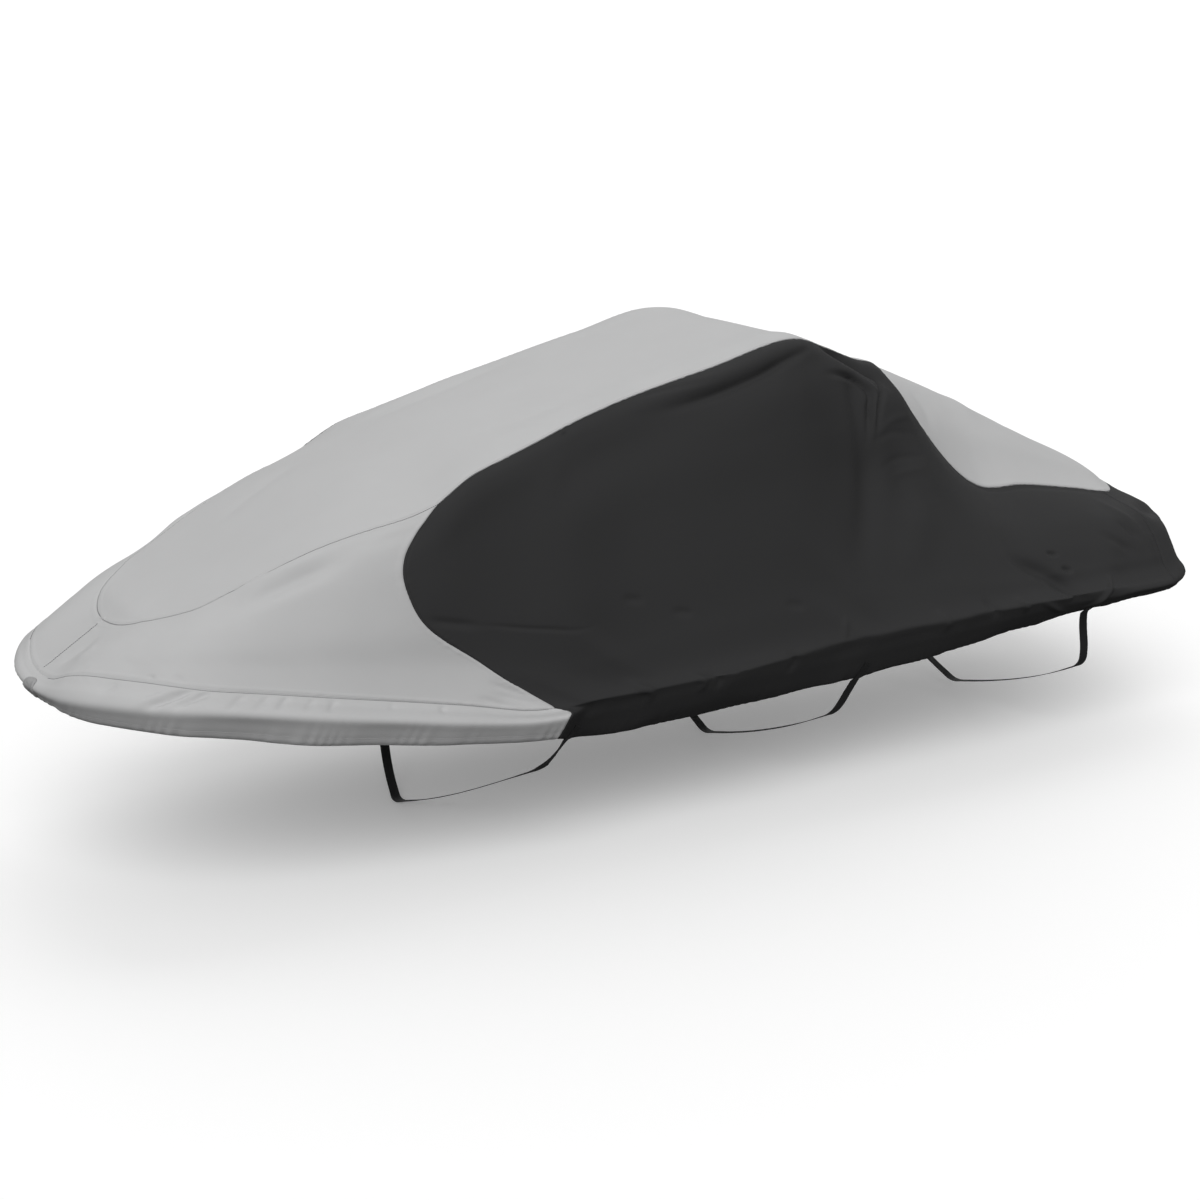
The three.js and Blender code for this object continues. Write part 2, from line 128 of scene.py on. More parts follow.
floor_points = [
    (radius * math.cos(turn), radius * math.sin(turn), FLOOR_LEVEL + rise)
    for radius, rise in FLOOR_RINGS
    for turn in np.linspace(0, 2 * math.pi, FLOOR_CORNERS, endpoint=False)
]
floor_faces = [tuple(range(FLOOR_CORNERS))]
for ring in range(len(FLOOR_RINGS) - 1):
    for k in range(FLOOR_CORNERS):
        inner, beside = ring * FLOOR_CORNERS + k, ring * FLOOR_CORNERS + (k + 1) % FLOOR_CORNERS
        floor_faces.append((inner, inner + FLOOR_CORNERS, beside + FLOOR_CORNERS, beside))
floor_mesh = bpy.data.meshes.new("floor")
floor_mesh.from_pydata(floor_points, [], floor_faces)
floor_mesh.shade_smooth()
floor_paint, _, _ = new_finish("floor_paint", {
    "Base Color": (*FLOOR_COLOUR, 1),
    "Roughness": FLOOR_ROUGHNESS,
    "Specular IOR Level": FLOOR_SPECULAR,
    "Emission Color": WHITE,
    "Emission Strength": FLOOR_GLOW,
})
floor_mesh.materials.append(floor_paint)
floor = bpy.data.objects.new("floor", floor_mesh)
floor.visible_diffuse = False
floor.visible_glossy = False
scene.collection.objects.link(floor)


# Top panel
# One long panel of matt light grey polyester, from the nose over the high middle to the stern.
# It comes to a round end at both ends, and a felled seam joins it to the panels below.
GREY = (0.495, 0.496, 0.498)
GREY_LOOK = {"roughness": 0.84, "sheen": 0.04, "specular": 0.15}
TOP_POINTS = 11
TOP_STEP = 0.0085
TOP_FOLDS = [
    (((0.41, 0.10), (0.35, 0.20), (0.27, 0.26)), 0.030, -0.0035),
    (((0.42, 0.89), (0.35, 0.79), (0.25, 0.74)), 0.034, -0.0045),
    (((0.38, 0.93), (0.32, 0.86), (0.24, 0.83)), 0.022, 0.0025),
    (((0.63, 0.30), (0.645, 0.52), (0.635, 0.74)), 0.034, -0.0055),
    (((0.69, 0.62), (0.70, 0.74), (0.685, 0.88)), 0.026, -0.0050),
    (((0.72, 0.12), (0.735, 0.22), (0.725, 0.33)), 0.026, -0.0030),
    (((0.80, 0.28), (0.81, 0.50), (0.80, 0.70)), 0.040, 0.0040),
    (((0.86, 0.40), (0.87, 0.58), (0.855, 0.78)), 0.026, -0.0045),
    (((0.10, 0.62), (0.17, 0.70), (0.23, 0.72)), 0.030, -0.0030),
]

AFT, STARBOARD, UP = range(3)
SOLID_MERGE = 0.0003
PIECE_MERGE = 1e-6
VANISHED = 1e-9
SMALLEST = 1e-12
RIM_TURN = math.radians(60)
MIDDLE_LINE = ((-1.5, 1.1), -0.75)
SPAN_PARTS = 10
SEAM_EASES = [
    ((-1.024, 0.391, -0.297), (0.0020, 0.005, -0.0030), 0.035, 1),
    ((-1.095, 0.408, -0.350), (0.0150, 0.000, -0.0070), 0.070, 2),
    ((-0.935, 0.387, -0.260), (0.0000, -0.003, 0.0110), 0.070, 2),
    ((-1.010, 0.478, -0.628), (0.0165, 0.000, -0.0080), 0.080, 2),
    ((-0.660, 0.354, -0.167), (0.0000, -0.002, 0.0060), 0.110, 2),
]

CLOTH_THICKNESS = 0.0012
EDGE_STEPS = np.array((0, 0.0012, 0.0026, 0.0045, 0.007, 0.0105, 0.015))
LINING_REACH = 2
SEAM_ALLOWANCE = 0.004
SEAM_WELT = 0.0007
SEAM_WELT_WIDTH = 0.012
SEAM_WELT_FADE = 1.5
SEAM_SINK = 0.0016
SEAM_SINK_WIDTH = 0.0024
PUCKER_HEIGHT = 0.0005
PUCKER_PITCH = 0.021
PUCKER_REACH = 0.022
PUCKER_DRIFTS = ((0.55, 1.13), (0.40, 0.37))
PUCKER_SWELL = (0.38, 0.71, 1.3)
HEM_ROLL = 0.0016
HEM_WIDTH = 0.024
HEM_EDGE = 0.006
HEM_GATHER = 0.0011
HEM_GATHER_PITCH = 0.034
HEM_GATHER_REACH = 0.05
FOLD_SEAM_FADE = 0.014
FOLD_END_FADE = 0.4
FOLD_STOPS = 20
FOLD_STOP_SHARE = 0.3
FOLD_REACH = 3
WAVE_PERIOD = math.pi / 10


def middle_near(points):
    """The nearest points of a line that runs through the middle of the cover."""
    middle = np.zeros_like(points)
    middle[..., AFT] = np.clip(points[..., AFT], *MIDDLE_LINE[0])
    middle[..., UP] = MIDDLE_LINE[1]
    return middle


def outer_face(node_name):
    """Points and triangles of the outer face of a sheet's solid, without its inner face and rim."""
    solid = bmesh.new()
    solid.from_mesh(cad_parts[node_name].data)
    bmesh.ops.remove_doubles(solid, verts=solid.verts, dist=SOLID_MERGE)
    solid.faces.ensure_lookup_table()
    solid.normal_update()
    group = [-1] * len(solid.faces)
    for seed in solid.faces:
        if group[seed.index] >= 0:
            continue
        group[seed.index] = seed.index
        waiting = [seed]
        while waiting:
            for edge in waiting.pop().edges:
                if len(edge.link_faces) == 2 and edge.calc_face_angle() < RIM_TURN:
                    for face in edge.link_faces:
                        if group[face.index] < 0:
                            group[face.index] = seed.index
                            waiting.append(face)
    points = np.array([vertex.co for vertex in solid.verts])
    triangles = np.array([[vertex.index for vertex in face.verts] for face in solid.faces])
    solid.free()
    a, b, c = points[triangles].transpose(1, 0, 2)
    centres = (a + b + c) / 3
    flow = np.einsum("ij,ij->i", np.cross(b - a, c - a), centres - middle_near(centres))
    group = np.array(group)
    outer = max(np.unique(group), key=lambda one: flow[group == one].sum())
    kept = np.isin(triangles, triangles[group == outer]).all(axis=1)
    return points, triangles[kept]


def panel_lines(node_name, across):
    """The outer face as a grid: cross lines of the panel in order, each with the same points across."""
    points, triangles = outer_face(node_name)
    by_edge, after = {}, {}
    for k, corners in enumerate(triangles):
        for i in range(3):
            by_edge.setdefault(frozenset((corners[i], corners[i - 2])), []).append(k)
    for corners in triangles:
        for i in range(3):
            if len(by_edge[frozenset((corners[i], corners[i - 2]))]) == 1:
                after[corners[i]] = corners[i - 2]
    before = {b: a for a, b in after.items()}

    def lines_from(line):
        lines, used = [line], set()
        while len(used) < len(triangles):
            line, i = lines[-1], 0
            if line[0] not in before:
                return None
            fresh = [before[line[0]]]
            while True:
                beside = by_edge.get(frozenset((line[i], fresh[-1])), ())
                ways = [k for k in beside if k not in used]
                if not ways:
                    break
                used.add(ways[0])
                third = (set(triangles[ways[0]]) - {line[i], fresh[-1]}).pop()
                if i + 1 < len(line) and third == line[i + 1]:
                    i += 1
                else:
                    fresh.append(third)
            if i + 1 < len(line) or len(fresh) not in (1, across):
                return None
            lines.append(fresh)
        return lines

    for start in sorted(after):
        edge = [start]
        while len(edge) < across:
            edge.append(after[edge[-1]])
        lines = lines_from(edge) or lines_from([start])
        if lines:
            return np.array([points[line if len(line) > 1 else line * across] for line in lines])
    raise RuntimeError(f"{node_name} is not a grid {across} points across")


def smooth_through(lines):
    """More lines, on the smooth curves through the given ones, SPAN_PARTS to a span."""
    spans = np.linalg.norm(np.diff(lines, axis=0), axis=2).mean(axis=1)[:, None, None]
    slopes = np.diff(lines, axis=0) / spans
    share = spans[:-1] / (spans[:-1] + spans[1:])
    inner = slopes[:-1] * (1 - share) + slopes[1:] * share
    tangents = np.concatenate([2 * slopes[:1] - inner[:1], inner, 2 * slopes[-1:] - inner[-1:]])
    parts = []
    for t in np.arange(SPAN_PARTS) / SPAN_PARTS:
        from_start = lines[:-1] * (1 + 2 * t) * (1 - t) ** 2 + tangents[:-1] * spans * t * (1 - t) ** 2
        from_end = lines[1:] * t * t * (3 - 2 * t) + tangents[1:] * spans * t * t * (t - 1)
        parts.append(from_start + from_end)
    smooth = np.stack(parts, axis=1).reshape(-1, *lines.shape[1:])
    return np.concatenate([smooth, lines[-1:]])


def measured(lines):
    """How far along its curve each point of each line lies."""
    steps = np.linalg.norm(np.diff(lines, axis=0), axis=2)
    return np.concatenate([np.zeros_like(steps[:1]), np.cumsum(steps, axis=0)])


def respaced(lines, step):
    """The same curves with points a step apart, and closer together next to both ends."""
    lengths = measured(lines)
    edge = EDGE_STEPS[-1]
    count = 2 * max(2, math.ceil((lengths[-1].max() - 2 * edge) / step / 2))
    new = np.empty((count + 2 * len(EDGE_STEPS) - 1, *lines.shape[1:]))
    for k in range(lines.shape[1]):
        whole = lengths[-1, k]
        fit = min(1, whole / (4 * edge))
        middle = np.linspace(edge * fit, whole - edge * fit, count + 1)[1:-1]
        places = np.concatenate([EDGE_STEPS * fit, middle, whole - EDGE_STEPS[::-1] * fit])
        for axis in range(3):
            new[:, k, axis] = np.interp(places, lengths[:, k], lines[:, k, axis])
    return new


def crossways(lines):
    """The same grid, with its points across taken as its lines."""
    return lines.transpose(1, 0, 2)


def seam_ease(sheet):
    """How far the front seams of the black panels are eased, the same on both sides of a seam."""
    shift = np.zeros_like(sheet)
    mirrored = sheet * (1, -1, 1)
    for place, move, reach, power in SEAM_EASES:
        for points, mirror in ((sheet, 1), (mirrored, -1)):
            near = np.exp(-((np.linalg.norm(points - place, axis=2) / reach) ** power))
            shift += near[..., None] * np.array(move) * (1, mirror, 1)
    return shift


def fine_sheet(node_name, across, along_axis, down_axis, step):
    """Fine grid on the solid's outer face, from its front or port end aft and from its top edge down."""
    lines = panel_lines(node_name, across)
    if lines[0, :, along_axis].mean() > lines[-1, :, along_axis].mean():
        lines = lines[::-1]
    falling = -1 if down_axis == UP else 1
    if falling * (lines[:, -1, down_axis] - lines[:, 0, down_axis]).mean() < 0:
        lines = lines[:, ::-1]
    sheet = crossways(smooth_through(crossways(smooth_through(lines))))
    sheet = sheet + seam_ease(sheet)
    return respaced(crossways(respaced(crossways(sheet), step)), step)


def outward(sheet):
    """Unit normals that point away from the middle of the cover, and 1 or -1 for the grid's own turn."""
    normals = np.cross(np.gradient(sheet, axis=0), np.gradient(sheet, axis=1))
    for end, beside in ((0, 1), (-1, -2)):
        if np.linalg.norm(normals[end], axis=1).mean() < VANISHED:
            normals[end] = normals[beside].mean(axis=0)
    normals /= np.maximum(np.linalg.norm(normals, axis=2, keepdims=True), SMALLEST)
    turn = np.sign((normals * (sheet - middle_near(sheet))).sum())
    return normals * turn, turn


def eased(value, low, high):
    """A smooth step from 0 at the low value to 1 at the high one."""
    share = np.clip((value - low) / (high - low), 0, 1)
    return share * share * (3 - 2 * share)


def bell(distance, width):
    """1 at no distance, with a soft fall to nothing beyond the width."""
    return np.exp(-((distance / width) ** 2))


def uneven_wave(place, pitch):
    """Small puckers whose pitch and height wander along the seam."""
    count = place / pitch
    drift = count
    for size, pace in PUCKER_DRIFTS:
        drift = drift + size * np.sin(count * pace)
    size, pace, start = PUCKER_SWELL
    return np.sin(2 * math.pi * drift) * (1 - size + size * np.sin(count * pace + start))


def edge_distances(sheet):
    """How far each point lies from each edge of the sheet, and its place along that edge."""
    along = measured(sheet)
    down = measured(crossways(sheet)).T
    return {
        "front": (along, down),
        "rear": (along[-1:] - along, down),
        "top": (down, along),
        "bottom": (down[:, -1:] - down, along),
    }


def sewn_relief(sheet, sewn, hemmed):
    """Height of the welt, sunk line and puckers of sewn edges, and of the roll and gathers of a hem."""
    height = np.zeros(sheet.shape[:2])
    for edge, (reach, place) in edge_distances(sheet).items():
        if edge in sewn:
            height += SEAM_WELT * (1 - eased(reach, SEAM_WELT_WIDTH, SEAM_WELT_WIDTH * SEAM_WELT_FADE))
            height -= SEAM_SINK * bell(reach, SEAM_SINK_WIDTH)
            height += PUCKER_HEIGHT * uneven_wave(place, PUCKER_PITCH) * bell(reach, PUCKER_REACH)
        if edge in hemmed:
            height += HEM_ROLL * np.sin(math.pi * np.clip(reach / HEM_WIDTH, 0, 1))
            gather = uneven_wave(place, HEM_GATHER_PITCH) * bell(reach, HEM_GATHER_REACH)
            height += HEM_GATHER * gather * eased(reach, 0, HEM_EDGE)
    return height


def fold_relief(sheet, folds, sewn):
    """Soft ridges and troughs, each on a smooth path through places in shares along and down the panel."""
    height = np.zeros(sheet.shape[:2])
    last = np.array(sheet.shape[:2]) - 1
    for places, width, rise in folds:
        path = smooth_through(np.array(places)[:, None])[:, 0].clip(0, 1) * last
        i, j = cell = np.minimum(path.astype(int), last - 1).T
        along, down = (path.T - cell)[..., None]
        spine = (sheet[i, j] * (1 - along) + sheet[i + 1, j] * along) * (1 - down)
        spine += (sheet[i, j + 1] * (1 - along) + sheet[i + 1, j + 1] * along) * down
        length = measured(spine[:, None])[:, 0]
        count = max(FOLD_STOPS, math.ceil(length[-1] / (FOLD_STOP_SHARE * width)))
        stops, step = np.linspace(0, length[-1], count, retstep=True)
        spine = np.stack([np.interp(stops, length, spine[:, axis]) for axis in range(3)], axis=1)
        ways = np.gradient(spine, axis=0)
        ways /= np.linalg.norm(ways, axis=1, keepdims=True)
        centre = (spine.max(axis=0) + spine.min(axis=0)) / 2
        reach = np.ptp(spine, axis=0) / 2 + FOLD_REACH * width
        near = (np.abs(sheet - centre) < reach).all(axis=2)
        nearest = np.linalg.norm(sheet[near][:, None] - spine[None], axis=2).argmin(axis=1)
        apart = sheet[near] - spine[nearest]
        past = (apart * ways[nearest]).sum(axis=1).clip(-step / 2, step / 2)
        share = (stops[nearest] + past) / length[-1]
        fade = eased(share, 0, FOLD_END_FADE) * eased(1 - share, 0, FOLD_END_FADE)
        height[near] += rise * fade * np.exp((past**2 - (apart**2).sum(axis=1)) / width**2)
    to_seams = [reach for edge, (reach, _) in edge_distances(sheet).items() if edge in sewn]
    return height * eased(np.min(to_seams, axis=0), 0, FOLD_SEAM_FADE)


def lining_under(sheet, normals, height, sewn, thickness):
    """The inner face of the cloth, below the lowest fold nearby, with an allowance under the seams."""
    deep = np.pad(height, LINING_REACH, mode="edge")
    rows, columns = height.shape
    shifts = range(2 * LINING_REACH + 1)
    lowest = np.min([deep[i : i + rows, j : j + columns] for i in shifts for j in shifts], axis=0)
    lining = sheet + normals * (lowest - thickness)[..., None]
    for edge, rim, beside in (
        ("front", np.s_[0], np.s_[1]),
        ("rear", np.s_[-1], np.s_[-2]),
        ("top", np.s_[:, 0], np.s_[:, 1]),
        ("bottom", np.s_[:, -1], np.s_[:, -2]),
    ):
        if edge in sewn:
            outwards = sheet[rim] - sheet[beside]
            outwards /= np.maximum(np.linalg.norm(outwards, axis=1, keepdims=True), VANISHED)
            lining[rim] += outwards * SEAM_ALLOWANCE
    return lining


def face_corners(index):
    """The four corners of each cell of a grid."""
    corners = [index[:-1, :-1], index[1:, :-1], index[1:, 1:], index[:-1, 1:]]
    return np.stack(corners, axis=-1).reshape(-1, 4)


def border(index):
    """The points round the edge of a grid, in order."""
    return np.concatenate([index[:-1, 0], index[-1, :-1], index[:0:-1, -1], index[0, :0:-1]])


def cloth_piece(name, sheet, lining, turn, material):
    """A thin closed sheet: a fine outer face, a coarser lining and a rim, with UV in metres of cloth."""
    outer = np.arange(sheet[..., 0].size).reshape(sheet.shape[:2])
    inner = outer.size + np.arange(outer[::2, ::2].size).reshape(outer[::2, ::2].shape)
    outer_rim, inner_rim = border(outer), border(inner)
    rim = [inner_rim, np.roll(inner_rim, -1), np.roll(outer_rim, -2)[::2], outer_rim[1::2], outer_rim[::2]]
    faces = [face_corners(outer), face_corners(inner)[:, ::-1], np.stack(rim, axis=1)]
    faces = [face[:: int(turn)] for group in faces for face in group.tolist()]
    points = np.concatenate([sheet.reshape(-1, 3), lining[::2, ::2].reshape(-1, 3)])
    place = np.stack([measured(sheet), measured(crossways(sheet)).T], axis=-1)
    place = np.concatenate([place.reshape(-1, 2), place[::2, ::2].reshape(-1, 2)])
    mesh = bpy.data.meshes.new(name)
    mesh.from_pydata(points.tolist(), [], faces)
    mesh.uv_layers.new(name="cloth").data.foreach_set("uv", place[np.concatenate(faces)].reshape(-1))
    merged = bmesh.new()
    merged.from_mesh(mesh)
    bmesh.ops.remove_doubles(merged, verts=merged.verts, dist=PIECE_MERGE)
    merged.to_mesh(mesh)
    merged.free()
    mesh.shade_smooth()
    mesh.set_sharp_from_angle(angle=RIM_TURN)
    mesh.materials.append(material)
    piece = bpy.data.objects.new(name, mesh)
    scene.collection.objects.link(piece)
    return piece


def noise(tree, place, scale, detail, roughness):
    """An even cloudiness in the object's own space."""
    node = tree.nodes.new("ShaderNodeTexNoise")
    node.inputs["Scale"].default_value = scale
    node.inputs["Detail"].default_value = detail
    node.inputs["Roughness"].default_value = roughness
    tree.links.new(place.outputs["Object"], node.inputs["Vector"])
    return node.outputs["Fac"]


def thread_waves(tree, place, direction, pitch, wander=0):
    """Threads side by side, a pitch apart on the flat cloth."""
    node = tree.nodes.new("ShaderNodeTexWave")
    node.bands_direction = direction
    node.inputs["Scale"].default_value = WAVE_PERIOD / pitch
    node.inputs["Distortion"].default_value = wander
    tree.links.new(place.outputs["UV"], node.inputs["Vector"])
    return node.outputs["Fac"]


def two_tones(tree, share, colour, dark, light):
    """A colour that goes from a darker to a lighter tone of itself."""
    node = tree.nodes.new("ShaderNodeMix")
    node.data_type = "RGBA"
    for socket, tone in (("A", dark), ("B", light)):
        node.inputs[socket].default_value = (*(c * tone for c in colour), 1)
    tree.links.new(share, node.inputs["Factor"])
    return node.outputs["Result"]


def added(tree, one, other):
    """The sum of two heights."""
    node = tree.nodes.new("ShaderNodeMath")
    node.operation = "ADD"
    tree.links.new(one, node.inputs[0])
    tree.links.new(other, node.inputs[1])
    return node.outputs["Value"]


def raised(tree, height, strength, depth):
    """Fine relief in the shading, finer than the mesh."""
    node = tree.nodes.new("ShaderNodeBump")
    node.inputs["Strength"].default_value = strength
    node.inputs["Distance"].default_value = depth
    tree.links.new(height, node.inputs["Height"])
    return node


def woven_cloth(name, colour, roughness, sheen, specular):
    """Matt plain-woven polyester: fine threads, slightly cloudy dye and a little slackness."""
    sheen_roughness = 0.5
    dye_unevenness = 0.035
    gloss_unevenness = 0.06
    clouds = {"scale": 7, "detail": 5, "roughness": 0.5}
    threads = {"pitch": 0.0008, "wander": 0.4}
    weave = {"strength": 0.35, "depth": 0.00012}
    slack = {"scale": 11, "detail": 2, "roughness": 0.4}
    sag = {"strength": 0.5, "depth": 0.0012}
    material, tree, shader = new_finish(name, {
        "Specular IOR Level": specular,
        "Sheen Weight": sheen,
        "Sheen Roughness": sheen_roughness,
    })
    place = tree.nodes.new("ShaderNodeTexCoord")
    cloud = noise(tree, place, **clouds)
    dye = two_tones(tree, cloud, colour, 1 - dye_unevenness, 1 + dye_unevenness)
    gloss = tree.nodes.new("ShaderNodeMapRange")
    gloss.inputs["To Min"].default_value = roughness - gloss_unevenness
    gloss.inputs["To Max"].default_value = roughness + gloss_unevenness
    weft, warp = (thread_waves(tree, place, way, **threads) for way in ("X", "Y"))
    woven = raised(tree, added(tree, weft, warp), **weave)
    soft = raised(tree, noise(tree, place, **slack), **sag)
    tree.links.new(dye, shader.inputs["Base Color"])
    tree.links.new(cloud, gloss.inputs["Value"])
    tree.links.new(gloss.outputs["Result"], shader.inputs["Roughness"])
    tree.links.new(woven.outputs["Normal"], soft.inputs["Normal"])
    tree.links.new(soft.outputs["Normal"], shader.inputs["Normal"])
    return material


def sew(
    name, node_name, material, across, axes, step, sewn, hemmed, folds, draw=None
):
    """One panel of the cover: its fine sheet with folds and seams, in the place of its solid."""
    plain = fine_sheet(node_name, across, *axes, step)
    sheet = draw(plain) if draw else plain
    normals, turn = outward(sheet)
    height = fold_relief(sheet, folds, sewn) + sewn_relief(sheet, sewn, hemmed)
    lining = lining_under(sheet, normals, height, sewn, CLOTH_THICKNESS)
    sheet = sheet + normals * height[..., None]
    piece = cloth_piece(name, sheet, lining, turn, material)
    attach(piece, "root")
    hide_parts(node_name)
    return {"plain": plain, "sheet": sheet, "normals": normals}


grey_cloth = woven_cloth("grey_cloth", GREY, **GREY_LOOK)
top = sew(
    "top_cloth", "top_panel", grey_cloth, TOP_POINTS, (AFT, STARBOARD), TOP_STEP,
    sewn=("top", "bottom"), hemmed=(), folds=TOP_FOLDS,
)


# Bow sides
# A panel of the same grey cloth on each side of the bow, sewn to the top panel and to the band below.
# The two meet in a short seam on the nose, and the black side panels are sewn to their rear edges.
BOW_POINTS = 9
BOW_STEP = 0.0062
BOW_FOLDS = {
    "port": [
        (((0.045, 0.90), (0.076, 0.525), (0.108, 0.18)), 0.020, -0.0045),
        (((0.115, 0.82), (0.135, 0.55), (0.155, 0.33)), 0.020, 0.0040),
        (((0.510, 0.285), (0.688, 0.230), (0.850, 0.165)), 0.020, -0.0120),
        (((0.420, 0.070), (0.603, 0.115), (0.770, 0.100)), 0.016, 0.0060),
        (((0.295, 0.88), (0.297, 0.93), (0.300, 0.975)), 0.007, -0.0044),
        (((0.340, 0.87), (0.350, 0.92), (0.352, 0.970)), 0.008, -0.0032),
        (((0.935, 0.79), (0.958, 0.845), (0.974, 0.905)), 0.008, -0.0040),
        (((0.915, 0.86), (0.945, 0.900), (0.968, 0.948)), 0.008, -0.0040),
        (((0.865, 0.90), (0.890, 0.930), (0.920, 0.958)), 0.008, -0.0032),
    ],
    "starboard": [
        (((0.450, 0.330), (0.620, 0.270), (0.790, 0.210)), 0.024, -0.0110),
        (((0.470, 0.110), (0.640, 0.140), (0.800, 0.120)), 0.018, 0.0060),
        (((0.690, 0.540), (0.780, 0.620), (0.880, 0.710)), 0.024, -0.0070),
        (((0.380, 0.88), (0.386, 0.93), (0.384, 0.975)), 0.008, -0.0044),
        (((0.620, 0.88), (0.630, 0.93), (0.628, 0.975)), 0.008, -0.0036),
        (((0.925, 0.81), (0.950, 0.870), (0.972, 0.925)), 0.009, -0.0044),
    ],
}

bow = {}
for side, folds in BOW_FOLDS.items():
    bow[side] = sew(
        f"bow_cloth_{side}", f"bow_side_{side}", grey_cloth, BOW_POINTS, (AFT, UP), BOW_STEP,
        sewn=("top", "bottom", "front", "rear"), hemmed=(), folds=folds,
    )


# Bow band
# A band of the same grey cloth round the bow, sewn to the panels above it.
# Its lower edge is a hem with elastic, which draws it in and puckers it.
BAND_POINTS = 6
BAND_STEP = 0.0055
BAND_FOLDS = [
    (((0.050, 0.52), (0.250, 0.455), (0.370, 0.50)), 0.012, 0.0030),
    (((0.630, 0.50), (0.770, 0.460), (0.950, 0.52)), 0.012, 0.0030),
    (((0.352, 0.52), (0.330, 0.230), (0.311, 0.000)), 0.0075, -0.0120),
    (((0.362, 0.50), (0.340, 0.220), (0.322, 0.000)), 0.0080, 0.0050),
    (((0.332, 0.46), (0.312, 0.190), (0.296, 0.000)), 0.0070, -0.0100),
    (((0.292, 0.42), (0.282, 0.200), (0.272, 0.000)), 0.0075, -0.0046),
    (((0.272, 0.42), (0.262, 0.210), (0.254, 0.000)), 0.0075, -0.0038),
    (((0.254, 0.40), (0.246, 0.190), (0.237, 0.000)), 0.0065, -0.0050),
    (((0.233, 0.38), (0.224, 0.190), (0.217, 0.000)), 0.0065, -0.0036),
    (((0.214, 0.40), (0.206, 0.180), (0.199, 0.000)), 0.0075, -0.0046),
    (((0.162, 0.30), (0.157, 0.180), (0.152, 0.060)), 0.0075, -0.0028),
    (((0.120, 0.32), (0.113, 0.190), (0.108, 0.050)), 0.0075, -0.0036),
    (((0.397, 0.36), (0.388, 0.210), (0.381, 0.050)), 0.0100, -0.0036),
    (((0.628, 0.50), (0.648, 0.230), (0.664, 0.000)), 0.0080, -0.0110),
    (((0.664, 0.44), (0.679, 0.200), (0.690, 0.000)), 0.0075, -0.0070),
    (((0.733, 0.32), (0.739, 0.190), (0.746, 0.050)), 0.0070, -0.0040),
    (((0.766, 0.33), (0.772, 0.190), (0.777, 0.060)), 0.0075, -0.0034),
    (((0.840, 0.31), (0.846, 0.190), (0.852, 0.050)), 0.0075, -0.0040),
    (((0.898, 0.32), (0.903, 0.190), (0.910, 0.060)), 0.0075, -0.0034),
]

band = sew(
    "band_cloth", "bow_band", grey_cloth, BAND_POINTS, (STARBOARD, UP), BAND_STEP,
    sewn=("top", "front", "rear"), hemmed=("bottom",), folds=BAND_FOLDS,
)


